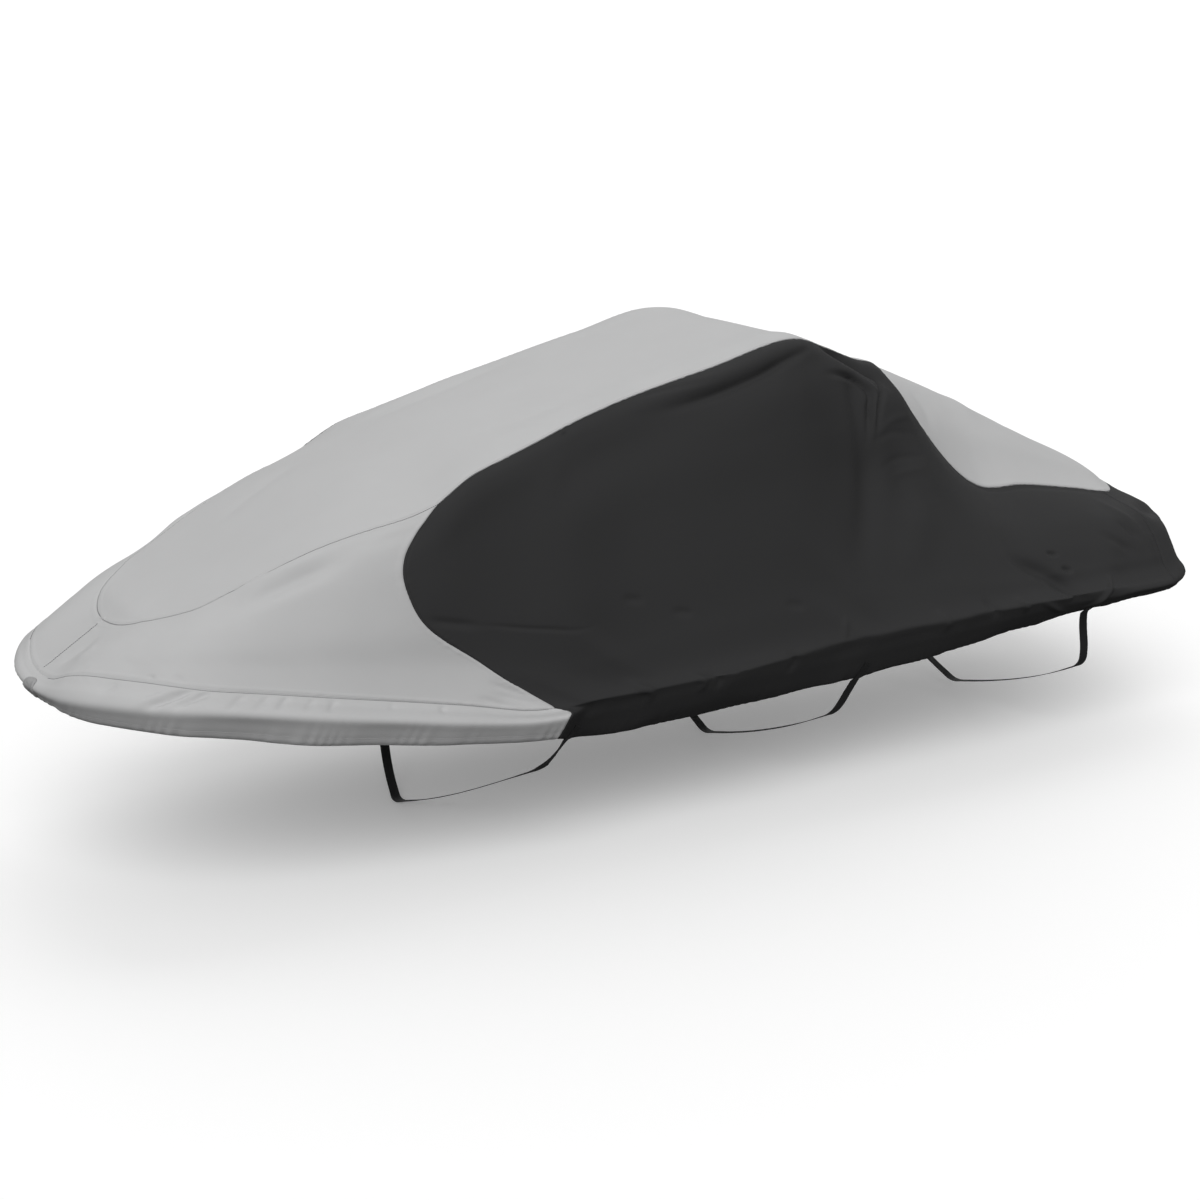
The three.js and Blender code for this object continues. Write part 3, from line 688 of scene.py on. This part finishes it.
# Side panels
# A deep panel of black polyester on each side, from the top panel's seam down to the elastic hem.
# It is pulled tight at its highest point, sags behind it, and is turned in along the hem.
BLACK = (0.0345, 0.0345, 0.0352)
BLACK_LOOK = {"roughness": 0.84, "sheen": 0.01, "specular": 0.1}
SIDE_POINTS = 14
SIDE_STEP = 0.0058
HEM_TURN = [
    (0, 0.835), (0.11, 0.848), (0.23, 0.866), (0.40, 0.842),
    (0.51, 0.852), (0.60, 0.862), (0.76, 0.838), (1, 0.85),
]
HEM_TURN_ROUND = 0.003
HEM_TURN_EASE = 0.012
HEM_PULL = 0.075
HEM_DROP = 0.40
HEM_PULL_FRONT = (0.002, 0.042)
HEM_PULL_REAR = (0.74, 0.97)
SIDE_FOLDS = {
    "port": [
        (((0.004, 0.330), (0.045, 0.130), (0.190, 0.110)), 0.0420, 0.0080),
        (((0.070, 0.760), (0.140, 0.480), (0.215, 0.150)), 0.1100, 0.0150),
        (((0.036, 0.432), (0.098, 0.510), (0.143, 0.556), (0.160, 0.552)), 0.0045, -0.0034),
        (((0.006, 0.352), (0.026, 0.400), (0.052, 0.462)), 0.0090, -0.0050),
        (((0.190, 0.512), (0.202, 0.528), (0.214, 0.545)), 0.0100, -0.0036),
        (((0.231, 0.594), (0.243, 0.612), (0.255, 0.630)), 0.0100, -0.0036),
        (((0.362, 0.676), (0.375, 0.691), (0.389, 0.707)), 0.0110, -0.0032),
        (((0.158, 0.020), (0.162, 0.034), (0.167, 0.052)), 0.0070, 0.0040),
        (((0.220, 0.058), (0.310, 0.066), (0.395, 0.060), (0.480, 0.034)), 0.0220, 0.0130),
        (((0.270, 0.104), (0.366, 0.108), (0.400, 0.103), (0.432, 0.086), (0.486, 0.042)), 0.0105, -0.0105),
        (((0.235, 0.024), (0.300, 0.055), (0.357, 0.073)), 0.0060, -0.0030),
        (((0.485, 0.133), (0.555, 0.139), (0.567, 0.163), (0.568, 0.213), (0.562, 0.330)), 0.0085, -0.0130),
        (((0.530, 0.114), (0.573, 0.148), (0.575, 0.202), (0.567, 0.330)), 0.0085, 0.0060),
        (((0.478, 0.024), (0.514, 0.056), (0.548, 0.079), (0.576, 0.098), (0.585, 0.135), (0.583, 0.197),
          (0.574, 0.300)), 0.0085, -0.0190),
        (((0.485, 0.028), (0.553, 0.070), (0.604, 0.130)), 0.0190, -0.0300),
        (((0.574, 0.285), (0.609, 0.208), (0.642, 0.112)), 0.0100, 0.0024),
        (((0.558, 0.312), (0.605, 0.258), (0.656, 0.150)), 0.0085, -0.0020),
        (((0.568, 0.386), (0.616, 0.320), (0.668, 0.198)), 0.0095, -0.0022),
        (((0.582, 0.410), (0.622, 0.352), (0.668, 0.236)), 0.0110, 0.0020),
        (((0.582, 0.250), (0.540, 0.460), (0.480, 0.680)), 0.0480, -0.0140),
        (((0.630, 0.400), (0.594, 0.550), (0.546, 0.720)), 0.0560, 0.0080),
        (((0.432, 0.760), (0.416, 0.809), (0.402, 0.850)), 0.0090, 0.0044),
        (((0.735, 0.500), (0.775, 0.630), (0.796, 0.760), (0.806, 0.950)), 0.0190, -0.0150),
        (((0.803, 0.512), (0.811, 0.530), (0.819, 0.548)), 0.0065, -0.0075),
        (((0.807, 0.628), (0.816, 0.648), (0.825, 0.669)), 0.0075, -0.0085),
        (((0.888, 0.700), (0.858, 0.835), (0.822, 0.975)), 0.0080, 0.0095),
        (((0.722, 0.838), (0.766, 0.900), (0.803, 0.965)), 0.0080, 0.0060),
        (((0.903, 0.430), (0.927, 0.539), (0.954, 0.635)), 0.0130, -0.0060),
        (((0.942, 0.360), (0.957, 0.461), (0.969, 0.555)), 0.0110, -0.0055),
        (((0.948, 0.080), (0.966, 0.350), (0.976, 0.620), (0.970, 0.850)), 0.0180, 0.0055),
        (((0.118, 0.760), (0.121, 0.835), (0.117, 0.905)), 0.0110, 0.0060),
        (((0.184, 0.820), (0.189, 0.862), (0.187, 0.905)), 0.0100, 0.0060),
        (((0.205, 0.825), (0.209, 0.868), (0.213, 0.910)), 0.0090, -0.0050),
        (((0.320, 0.820), (0.323, 0.865), (0.320, 0.910)), 0.0130, -0.0050),
        (((0.560, 0.805), (0.566, 0.850), (0.562, 0.900)), 0.0130, 0.0056),
        (((0.640, 0.790), (0.646, 0.840), (0.650, 0.895)), 0.0130, -0.0060),
        (((0.690, 0.790), (0.700, 0.840), (0.698, 0.890)), 0.0110, 0.0060),
    ],
    "starboard": [
        (((0.006, 0.340), (0.052, 0.150), (0.195, 0.120)), 0.0420, 0.0080),
        (((0.080, 0.780), (0.155, 0.500), (0.230, 0.170)), 0.1100, 0.0140),
        (((0.060, 0.500), (0.110, 0.540), (0.165, 0.600)), 0.0065, -0.0050),
        (((0.016, 0.410), (0.032, 0.436), (0.056, 0.466)), 0.0085, -0.0070),
        (((0.225, 0.470), (0.236, 0.484), (0.246, 0.502)), 0.0110, -0.0044),
        (((0.225, 0.064), (0.320, 0.072), (0.400, 0.062), (0.475, 0.036)), 0.0220, 0.0120),
        (((0.270, 0.114), (0.350, 0.120), (0.410, 0.104), (0.472, 0.056)), 0.0130, -0.0100),
        (((0.488, 0.150), (0.540, 0.160), (0.556, 0.192), (0.555, 0.260), (0.546, 0.345)), 0.0095, -0.0100),
        (((0.528, 0.136), (0.562, 0.170), (0.563, 0.240), (0.553, 0.345)), 0.0090, 0.0065),
        (((0.470, 0.030), (0.520, 0.076), (0.562, 0.106), (0.576, 0.150), (0.573, 0.230),
          (0.562, 0.320)), 0.0130, -0.0180),
        (((0.598, 0.285), (0.626, 0.220), (0.652, 0.136)), 0.0140, 0.0060),
        (((0.586, 0.335), (0.622, 0.280), (0.664, 0.184)), 0.0130, -0.0060),
        (((0.556, 0.446), (0.600, 0.380), (0.654, 0.284)), 0.0150, -0.0060),
        (((0.548, 0.330), (0.500, 0.500), (0.440, 0.680)), 0.0480, -0.0130),
        (((0.400, 0.300), (0.360, 0.460), (0.300, 0.640)), 0.0600, -0.0080),
        (((0.595, 0.460), (0.560, 0.580), (0.510, 0.720)), 0.0550, 0.0080),
        (((0.440, 0.750), (0.428, 0.800), (0.418, 0.850)), 0.0100, 0.0056),
        (((0.376, 0.730), (0.398, 0.800), (0.412, 0.870)), 0.0130, -0.0070),
        (((0.728, 0.490), (0.764, 0.610), (0.788, 0.760), (0.801, 0.900)), 0.0180, -0.0130),
        (((0.696, 0.630), (0.744, 0.740), (0.784, 0.880)), 0.0150, -0.0080),
        (((0.894, 0.690), (0.862, 0.820), (0.834, 0.940)), 0.0090, 0.0085),
        (((0.802, 0.562), (0.808, 0.575), (0.814, 0.588)), 0.0090, -0.0060),
        (((0.888, 0.410), (0.918, 0.520), (0.942, 0.640)), 0.0140, -0.0066),
        (((0.944, 0.100), (0.962, 0.370), (0.974, 0.640), (0.968, 0.860)), 0.0180, 0.0055),
        (((0.150, 0.760), (0.154, 0.845), (0.150, 0.915)), 0.0110, 0.0060),
        (((0.260, 0.820), (0.265, 0.865), (0.268, 0.910)), 0.0110, -0.0056),
        (((0.520, 0.800), (0.526, 0.850), (0.522, 0.900)), 0.0130, 0.0056),
        (((0.660, 0.790), (0.655, 0.840), (0.660, 0.895)), 0.0130, -0.0060),
    ],
}


def draw_in(sheet):
    """The hem's elastic turns the cloth in below an uneven line, less and less towards the panel's ends."""
    along, down = np.meshgrid(*(np.linspace(0, 1, count) for count in sheet.shape[:2]), indexing="ij")
    turn = np.interp(along[:, 0], *np.array(HEM_TURN).T)
    inwards = middle_near(sheet) - sheet
    inwards[..., UP] = 0
    out = np.linalg.norm(inwards, axis=2)
    limit = [np.interp(share, line, far) for share, line, far in zip(turn, down, out)]
    past = (out - np.array(limit)[:, None]) / HEM_TURN_ROUND
    below = eased(down, turn[:, None] - HEM_TURN_EASE, turn[:, None] + HEM_TURN_EASE)
    pull = HEM_TURN_ROUND * np.logaddexp(0, past) * below
    lower = (down - turn[:, None]) / HEM_TURN_EASE
    pull += HEM_PULL * HEM_TURN_EASE * np.logaddexp(0, lower) / (1 - turn[:, None])
    pull *= eased(along, *HEM_PULL_FRONT) * (1 - eased(along, *HEM_PULL_REAR))
    return sheet + (inwards / out[..., None] - (0, 0, HEM_DROP)) * pull[..., None]


black_cloth = woven_cloth("black_cloth", BLACK, **BLACK_LOOK)
sides = {}
for side, folds in SIDE_FOLDS.items():
    sides[side] = sew(
        f"side_cloth_{side}", f"side_{side}", black_cloth, SIDE_POINTS, (AFT, UP), SIDE_STEP,
        sewn=("top", "front", "rear"), hemmed=("bottom",), folds=folds,
        draw=draw_in,
    )


# Stern panel
# A panel of the same black cloth round the stern, sewn to the top panel and to both sides.
# Its lower edge is a hem with elastic, which draws it in.
STERN_POINTS = 14
STERN_STEP = 0.007
STERN_FOLDS = [
    (((0.030, 0.36), (0.110, 0.34), (0.220, 0.36)), 0.0340, -0.0200),
    (((0.160, 0.30), (0.205, 0.56), (0.180, 0.90)), 0.0180, 0.0070),
    (((0.300, 0.14), (0.335, 0.50), (0.320, 0.94)), 0.0220, -0.0100),
    (((0.430, 0.58), (0.505, 0.70), (0.590, 0.60)), 0.0180, -0.0090),
    (((0.610, 0.12), (0.585, 0.48), (0.605, 0.94)), 0.0220, -0.0095),
    (((0.730, 0.24), (0.745, 0.55), (0.730, 0.88)), 0.0150, 0.0065),
    (((0.800, 0.36), (0.890, 0.35), (0.970, 0.37)), 0.0340, -0.0180),
]

stern = sew(
    "stern_cloth", "stern_panel", black_cloth, STERN_POINTS, (STARBOARD, UP), STERN_STEP,
    sewn=("top", "front", "rear"), hemmed=("bottom",), folds=STERN_FOLDS,
)


# Nose patch
# A small round patch of grey cloth, sewn to the band just to port of the nose's tip; its darker grey is
# painted shade.
# Its edge is turned in all round and stands up as a soft rim.
PATCH_POINTS = 9
PATCH_STEP = 0.003
PATCH_THICKNESS = 0.0016
# The patch's darker grey is painted shade.
PATCH_SHADED_GREY = (0.33, 0.33, 0.332)
PATCH_COLUMNS = -6
PATCH_ROWS = -2
PATCH_RIM = 0.0022
PATCH_RIM_INSET = 0.0045
PATCH_RIM_WIDTH = 0.003
PATCH_EDGE_DROP = 0.0008
PATCH_EDGE_WIDTH = 0.002


def cloth_under(points, panels):
    """The plain and the finished cloth of some panels, and the nearest place on it to each point."""
    plain = np.concatenate([panel["plain"].reshape(-1, 3) for panel in panels])
    finished = np.concatenate([panel["sheet"].reshape(-1, 3) for panel in panels])
    tree = KDTree(len(plain))
    for index, place in enumerate(plain):
        tree.insert(place, index)
    tree.balance()
    found = [tree.find(point) for point in points.reshape(-1, 3)]
    nearest = np.array([index for _, index, _ in found])
    distance = np.array([far for _, _, far in found])
    return plain, finished, nearest, distance


patch_sheet = fine_sheet("nose_patch", PATCH_POINTS, STARBOARD, UP, PATCH_STEP)
band_plain, band_finished, under_patch, _ = cloth_under(patch_sheet, [band])
beside_patch = under_patch + PATCH_COLUMNS * band["plain"].shape[1] + PATCH_ROWS
patch_shift = band_finished[beside_patch] - band_plain[under_patch]
patch_sheet = patch_sheet + patch_shift.reshape(patch_sheet.shape)
patch_normals, patch_turn = outward(patch_sheet)
patch_reach = np.min([reach for reach, _ in edge_distances(patch_sheet).values()], axis=0)
patch_rise = PATCH_RIM * bell(patch_reach - PATCH_RIM_INSET, PATCH_RIM_WIDTH)
patch_drop = PATCH_EDGE_DROP * bell(patch_reach, PATCH_EDGE_WIDTH)
patch_lining = patch_sheet - patch_normals * PATCH_THICKNESS
patch_sheet = patch_sheet + patch_normals * (patch_rise - patch_drop)[..., None]
# The patch's cloth is the grey cloth in a darker tone: painted shade.
patch_cloth = woven_cloth("patch_cloth", PATCH_SHADED_GREY, **GREY_LOOK)
patch = cloth_piece("patch_cloth", patch_sheet, patch_lining, patch_turn, patch_cloth)
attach(patch, "root")
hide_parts("nose_patch")


# Straps
# Three lengths of black webbing, each sewn to the hem on both sides and passed underneath.
# The ends lie flat on the hem and are held by a box of stitches.
WEBBING_WIDTH = 0.025
WEBBING_THICKNESS = 0.0017
WEBBING_STEP = 0.006
WEBBING_ACROSS = 9
WEBBING_HOLD = (0.02, 0.32)
WEBBING_RAKE = 0.85
WEBBING_BLACK = (0.0095, 0.0095, 0.010)
STRAP_CUTS = {"front": 1.43, "middle": 1.41, "rear": 1.48}


def webbing(name, colour):
    """Flat-woven black webbing: ribs along its length, crossed by fine slanting threads."""
    rib_pitch = 0.0021
    slant_pitch = 0.0032
    weave = {"strength": 0.6, "depth": 0.0003}
    wear = {"dark": 0.7, "light": 1.5}
    look = {"Specular IOR Level": 0.25, "Sheen Weight": 0.05, "Roughness": 0.7}
    material, tree, shader = new_finish(name, look)
    place = tree.nodes.new("ShaderNodeTexCoord")
    ribs = thread_waves(tree, place, "Y", rib_pitch)
    slant = thread_waves(tree, place, "DIAGONAL", slant_pitch)
    worn = two_tones(tree, slant, colour, **wear)
    woven = raised(tree, added(tree, ribs, slant), **weave)
    tree.links.new(worn, shader.inputs["Base Color"])
    tree.links.new(woven.outputs["Normal"], shader.inputs["Normal"])
    return material


def cloth_shift(points):
    """How a strap moves aft and in with the hem that its ends are sewn to, and less away from the hem."""
    plain, finished, under, distance = cloth_under(points, sides.values())
    hold = 1 - eased(distance, *WEBBING_HOLD)
    drawn = np.linalg.norm((finished - plain)[under, :UP], axis=1).max()
    aft = round(WEBBING_RAKE * drawn / SIDE_STEP) * sides["port"]["plain"].shape[1]
    return ((finished[under + aft] - plain[under]) * hold[:, None]).reshape(points.shape)


black_webbing = webbing("black_webbing", WEBBING_BLACK)
straps = {}
for place, cut in STRAP_CUTS.items():
    edges = smooth_through(panel_lines(f"strap_{place}", 2))
    if edges[0, 0, STARBOARD] > edges[-1, 0, STARBOARD]:
        edges = edges[::-1]
    edges = respaced(edges, WEBBING_STEP)
    across = np.linspace(0, 1, WEBBING_ACROSS)[None, :, None]
    ribbon = edges[:, :1] * (1 - across) + edges[:, 1:] * across
    ribbon = ribbon + cloth_shift(ribbon)
    width = ribbon[:, -1:] - ribbon[:, :1]
    width *= WEBBING_WIDTH / np.linalg.norm(width, axis=2, keepdims=True)
    ribbon = ribbon.mean(axis=1, keepdims=True) + width * (across - 0.5)
    ribbon_normals, ribbon_turn = outward(ribbon)
    lining = ribbon - ribbon_normals * WEBBING_THICKNESS
    strap = cloth_piece(f"strap_webbing_{place}", ribbon, lining, ribbon_turn, black_webbing)
    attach(strap, "root")
    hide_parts(f"strap_{place}")
    straps[place] = {"sheet": ribbon, "normals": ribbon_normals}


# Stitching
# Lockstitch: near-black thread lies in the seams of the grey panels, as painted shadow standing in for the
# shade in their grooves, and thread of the cloth's own colour runs in a row beside each seam, in one above
# each hem, and in a box on each end of the straps.
STITCH_PITCH = 0.0052
STITCH_LENGTH = 0.0042
STITCH_THICKNESS = 0.0011
# The thick near-black thread in the grey seams is painted shadow of the seams' grooves.
SEAM_SHADOW_THICKNESS = 0.0019
STITCH_LIFT = 0.0001
SEAM_STITCH = 0.007
HEM_STITCH = 0.026
BOX_STITCH = (0.007, 0.040)
SEAM_SHADOW_LINE = 0.0012
NOSE_SEAM_PLAIN = (0.475, 0.565)
GREY_THREAD = (0.47, 0.47, 0.473)
# Near-black seam thread: painted shadow of the grey seams' grooves.
SEAM_SHADOW_THREAD = (0.055, 0.056, 0.062)
BLACK_THREAD = (0.014, 0.014, 0.015)


def edge_line(panel, edge, distance):
    """Points on a panel at one distance from one of its edges, a little above the cloth."""
    sheet = panel["sheet"] + panel["normals"] * STITCH_LIFT
    reach = edge_distances(panel["sheet"])[edge][0]
    if edge in ("front", "rear"):
        sheet, reach = crossways(sheet), reach.T
    if edge in ("rear", "bottom"):
        sheet, reach = sheet[:, ::-1], reach[:, ::-1]
    return np.array(
        [[np.interp(distance, far, line[:, axis]) for axis in range(3)] for line, far in zip(sheet, reach)]
    )[len(EDGE_STEPS) : -len(EDGE_STEPS)]


def box_lines(strap):
    """The box and cross of stitches at both ends of a strap."""
    sheet = strap["sheet"] + strap["normals"] * STITCH_LIFT
    lines = []
    for ribbon in (sheet, sheet[::-1]):
        far = measured(ribbon)[:, 0]
        rows = [ribbon[i] for i in range(len(ribbon)) if BOX_STITCH[0] <= far[i] <= BOX_STITCH[1]]
        left, right = [row[1] for row in rows], [row[-2] for row in rows]
        share = np.linspace(0, 1, len(rows))[:, None]
        lines += [left, right, [left[0], right[0]], [left[-1], right[-1]]]
        lines += [np.array(left) * (1 - share) + np.array(right) * share]
        lines += [np.array(right) * (1 - share) + np.array(left) * share]
    return lines


def stitch_tree():
    """Geometry Nodes: short round stitches, one after another, along every edge of a wire mesh."""
    unit_radius = 0.5
    roundness = 1
    tree = bpy.data.node_groups.new("stitch_rows", "GeometryNodeTree")
    sockets = {}
    for name, kind in (
        ("Rows", "NodeSocketGeometry"),
        ("Pitch", "NodeSocketFloat"),
        ("Length", "NodeSocketFloat"),
        ("Thickness", "NodeSocketFloat"),
        ("Thread", "NodeSocketMaterial"),
    ):
        sockets[name] = tree.interface.new_socket(name, in_out="INPUT", socket_type=kind).identifier
    tree.interface.new_socket("Stitches", in_out="OUTPUT", socket_type="NodeSocketGeometry")
    nodes = tree.nodes
    start, end = nodes.new("NodeGroupInput"), nodes.new("NodeGroupOutput")
    rows = nodes.new("GeometryNodeMeshToCurve")
    spaced = nodes.new("GeometryNodeResampleCurve")
    spaced.mode = "LENGTH"
    holes = nodes.new("GeometryNodeCurveToPoints")
    holes.mode = "EVALUATED"
    aim = nodes.new("FunctionNodeAlignRotationToVector")
    aim.axis = "X"
    stitch = nodes.new("GeometryNodeMeshIcoSphere")
    stitch.inputs["Radius"].default_value = unit_radius
    stitch.inputs["Subdivisions"].default_value = roundness
    shape = nodes.new("ShaderNodeCombineXYZ")
    placed = nodes.new("GeometryNodeInstanceOnPoints")
    real = nodes.new("GeometryNodeRealizeInstances")
    thread = nodes.new("GeometryNodeSetMaterial")
    smooth = nodes.new("GeometryNodeSetShadeSmooth")
    for source, output, target, socket in (
        (start, "Rows", rows, "Mesh"),
        (rows, "Curve", spaced, "Curve"),
        (start, "Pitch", spaced, "Length"),
        (spaced, "Curve", holes, "Curve"),
        (holes, "Tangent", aim, "Vector"),
        (start, "Length", shape, "X"),
        (start, "Thickness", shape, "Y"),
        (start, "Thickness", shape, "Z"),
        (holes, "Points", placed, "Points"),
        (stitch, "Mesh", placed, "Instance"),
        (aim, "Rotation", placed, "Rotation"),
        (shape, "Vector", placed, "Scale"),
        (placed, "Instances", real, "Geometry"),
        (real, "Geometry", smooth, "Geometry"),
        (smooth, "Geometry", thread, "Geometry"),
        (start, "Thread", thread, "Material"),
        (thread, "Geometry", end, "Stitches"),
    ):
        tree.links.new(source.outputs[output], target.inputs[socket])
    return tree, sockets


def thread_finish(name, colour):
    """Polyester thread with a little twist in its tone."""
    twist = {"scale": 900, "detail": 2, "roughness": 0.5}
    tones = {"dark": 0.8, "light": 1.2}
    look = {"Roughness": 0.6, "Specular IOR Level": 0.3}
    material, tree, shader = new_finish(name, look)
    place = tree.nodes.new("ShaderNodeTexCoord")
    tone = two_tones(tree, noise(tree, place, **twist), colour, **tones)
    tree.links.new(tone, shader.inputs["Base Color"])
    return material


def stitch_piece(name, lines, thickness, thread):
    """All rows of one thread as one plain mesh."""
    points, edges = [], []
    for line in lines:
        edges += [(len(points) + k, len(points) + k + 1) for k in range(len(line) - 1)]
        points += [tuple(point) for point in line]
    wire = bpy.data.meshes.new(f"{name}_rows")
    wire.from_pydata(points, edges, [])
    maker = bpy.data.objects.new(f"{name}_rows", wire)
    scene.collection.objects.link(maker)
    modifier = maker.modifiers.new("stitches", "NODES")
    modifier.node_group = stitches
    for socket, value in (
        ("Pitch", STITCH_PITCH),
        ("Length", STITCH_LENGTH),
        ("Thickness", thickness),
        ("Thread", thread),
    ):
        modifier[stitch_sockets[socket]] = value
    ready = maker.evaluated_get(bpy.context.evaluated_depsgraph_get())
    mesh = bpy.data.meshes.new_from_object(ready)
    mesh.name = name
    bpy.data.objects.remove(maker)
    piece = bpy.data.objects.new(name, mesh)
    scene.collection.objects.link(piece)
    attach(piece, "root")


stitches, stitch_sockets = stitch_tree()
# Near-black thread right in the grey seams, thicker than the other stitches: painted shadow of the seams'
# grooves.
seam_shadow_rows = [edge_line(top, edge, SEAM_SHADOW_LINE) for edge in ("top", "bottom")]
seam_shadow_rows += [edge_line(panel, "front", SEAM_SHADOW_LINE) for panel in bow.values()]
band_shadow_row = edge_line(band, "top", SEAM_SHADOW_LINE)
port_end, starboard_end = (int(share * len(band_shadow_row)) for share in NOSE_SEAM_PLAIN)
seam_shadow_rows += [band_shadow_row[:port_end], band_shadow_row[starboard_end:]]
grey_rows = [edge_line(top, edge, SEAM_STITCH) for edge in ("top", "bottom")]
grey_rows += [edge_line(panel, "bottom", SEAM_STITCH) for panel in bow.values()]
grey_rows += [edge_line(band, "bottom", HEM_STITCH)]
black_rows = [
    edge_line(panel, edge, SEAM_STITCH) for panel in sides.values() for edge in ("top", "front", "rear")
]
black_rows += [edge_line(panel, "bottom", HEM_STITCH) for panel in (*sides.values(), stern)]
black_rows += [line for strap in straps.values() for line in box_lines(strap)]
# The first set of rows, near-black thread in the grey seams, is painted shadow of the seams' grooves.
for kind, colour, rows, thickness, slot in (
    ("seam", SEAM_SHADOW_THREAD, seam_shadow_rows, SEAM_SHADOW_THICKNESS, "grey_cloth"),
    ("grey", GREY_THREAD, grey_rows, STITCH_THICKNESS, "grey_cloth"),
    ("black", BLACK_THREAD, black_rows, STITCH_THICKNESS, "black_cloth"),
):
    stitch_piece(f"stitches_{kind}", rows, thickness, thread_finish(f"{kind}_thread", colour))
